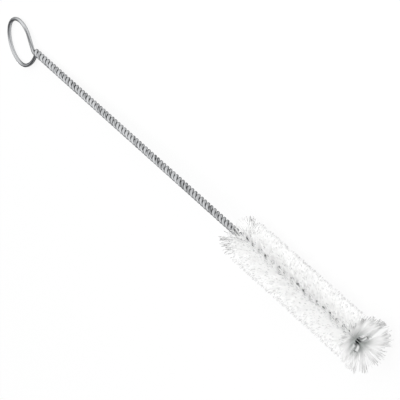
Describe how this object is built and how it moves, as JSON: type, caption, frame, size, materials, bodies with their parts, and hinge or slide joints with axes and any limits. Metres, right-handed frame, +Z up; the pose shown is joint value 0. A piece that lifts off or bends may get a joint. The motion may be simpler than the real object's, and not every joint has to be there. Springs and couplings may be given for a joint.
{
  "type": "bottle brush",
  "caption": "Twisted-wire bottle brush with a round hanging ring, a spiral head of white filaments and a wider splayed tuft at the tip.",
  "frame": {"origin": "on the ground, under the middle of the brush's outline as it lies on its ring and on the rear of its bristles", "axes": "+X from the hanging ring along the stem to the tip, +Z up from the ground, +Y across the brush"},
  "size_m": [0.3254, 0.0282, 0.0293],
  "materials": {
    "galvanised_wire": "satin",
    "white_nylon": "satin"
  },
  "bodies": {
    "root": {"twisted_wire": "galvanised_wire", "body_bristles": "white_nylon", "end_tuft": "white_nylon"}
  },
  "joints": []
}
